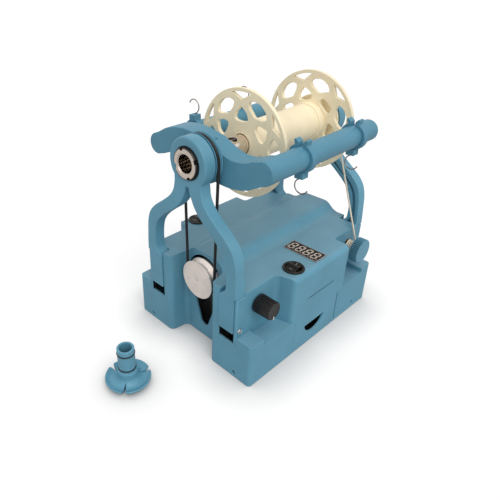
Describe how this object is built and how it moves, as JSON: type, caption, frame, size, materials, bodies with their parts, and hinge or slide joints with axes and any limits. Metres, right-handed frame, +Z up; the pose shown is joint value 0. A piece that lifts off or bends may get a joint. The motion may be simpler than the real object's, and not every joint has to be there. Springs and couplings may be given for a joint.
{
  "type": "electric yarn spinner",
  "caption": "Table-top electric spinner: box base with motor, two lyre maidens, open flyer with sliding hooks, openwork bobbin, cord brake and loose orifice insert.",
  "frame": {"origin": "on the table, under the middle of the base", "axes": "+Z up, -Y out of the orifice at the front, +X to the right where the knobs are"},
  "size_m": [0.1735, 0.323, 0.269],
  "materials": {
    "blue_plastic": "satin",
    "cream_plastic": "satin",
    "black_plastic": "satin",
    "black_rubber": "matt",
    "steel": "polished",
    "wire": "polished",
    "sheet_metal": "satin",
    "aluminium": "satin",
    "brass": "satin",
    "board_green": "gloss",
    "board_black": "satin",
    "bezel_plastic": "satin",
    "display_dark": "gloss",
    "cotton_cord": "matt"
  },
  "bodies": {
    "case": {"base_tray": "blue_plastic", "rubber_feet": "black_rubber", "case_screws": "steel", "top_cover": "blue_plastic", "front_maiden": "blue_plastic", "rear_maiden": "blue_plastic", "maiden_screws": "steel", "front_bearing_outer": "steel", "rear_bearing_outer": "steel", "bearing_balls": "steel", "motor_can": "steel", "motor_end_cap": "black_plastic", "motor_bracket": "sheet_metal", "motor_screws": "steel", "drive_belt": "black_rubber", "control_board": "board_green", "board_parts": "board_black", "display_bezel": "bezel_plastic", "display_face": "display_dark", "power_switch_body": "black_plastic", "direction_switch_body": "black_plastic", "pot_body": "sheet_metal", "pot_nut": "steel", "dc_inlet": "black_plastic", "brake_cord": "cotton_cord", "brake_spring": "steel", "spring_peg": "steel", "tension_bush": "brass"},
    "motor_rotor": {"motor_shaft": "steel", "motor_pulley": "aluminium"},
    "flyer": {"flyer_frame": "blue_plastic", "orifice_tube": "steel", "orifice_ring": "steel", "front_bearing_inner": "steel", "rear_bearing_inner": "steel", "flyer_pulley": "blue_plastic", "flyer_shaft": "steel", "shaft_collar": "steel"},
    "bobbin": {"bobbin_front_flange": "cream_plastic", "bobbin_rear_flange": "cream_plastic", "bobbin_core": "cream_plastic", "bobbin_whorl": "cream_plastic", "bobbin_bushes": "brass"},
    "clip_1": {"hook_clip_1": "blue_plastic", "hook_wire_1": "wire"},
    "clip_2": {"hook_clip_2": "blue_plastic", "hook_wire_2": "wire"},
    "clip_3": {"hook_clip_3": "blue_plastic", "hook_wire_3": "wire"},
    "clip_4": {"hook_clip_4": "blue_plastic", "hook_wire_4": "wire"},
    "power_paddle": {"power_rocker": "black_plastic"},
    "direction_paddle": {"direction_rocker": "black_plastic"},
    "speed_dial": {"pot_shaft": "steel", "speed_knob": "black_plastic"},
    "tension_dial": {"tension_shaft": "steel", "tension_knob": "blue_plastic"},
    "loose_insert": {"orifice_insert": "blue_plastic", "insert_seals": "black_rubber"}
  },
  "joints": [
    {"name": "flyer_spin", "type": "hinge", "parent": "case", "child": "flyer", "pos_m": [0, 0, 0.215], "axis": [0, 1, 0], "continuous": true},
    {"name": "motor_spin", "type": "hinge", "parent": "case", "child": "motor_rotor", "pos_m": [0, 0, 0.082], "axis": [0, 1, 0], "continuous": true},
    {"name": "bobbin_spin", "type": "hinge", "parent": "flyer", "child": "bobbin", "pos_m": [0, 0, 0.215], "axis": [0, 1, 0], "continuous": true},
    {"name": "clip_1_slide", "type": "slide", "parent": "flyer", "child": "clip_1", "axis": [0, 1, 0], "range_m": [-0.024, 0.04]},
    {"name": "clip_2_slide", "type": "slide", "parent": "flyer", "child": "clip_2", "axis": [0, 1, 0], "range_m": [-0.034, 0.02]},
    {"name": "clip_3_slide", "type": "slide", "parent": "flyer", "child": "clip_3", "axis": [0, 1, 0], "range_m": [-0.024, 0.04]},
    {"name": "clip_4_slide", "type": "slide", "parent": "flyer", "child": "clip_4", "axis": [0, 1, 0], "range_m": [-0.028, 0.026]},
    {"name": "power_rock", "type": "hinge", "parent": "case", "child": "power_paddle", "pos_m": [0.0705, -0.03, 0.0996], "axis": [-1, 0, 0], "range_deg": [0, 13]},
    {"name": "direction_rock", "type": "hinge", "parent": "case", "child": "direction_paddle", "pos_m": [-0.0705, -0.03, 0.0996], "axis": [-1, 0, 0], "range_deg": [0, 13]},
    {"name": "speed_turn", "type": "hinge", "parent": "case", "child": "speed_dial", "pos_m": [0.066, -0.078, 0.0807], "axis": [1, 0, 0], "range_deg": [-40, 240]},
    {"name": "tension_turn", "type": "hinge", "parent": "case", "child": "tension_dial", "pos_m": [0.066, 0.08, 0.0795], "axis": [1, 0, 0], "range_deg": [-360, 360]},
    {"name": "insert_lift", "type": "slide", "parent": "case", "child": "loose_insert", "axis": [0, 0, 1], "range_m": [0, 0.06]}
  ],
  "couplings": [
    {"joint": "motor_spin", "follows": "flyer_spin", "ratio": 1.1633}
  ]
}
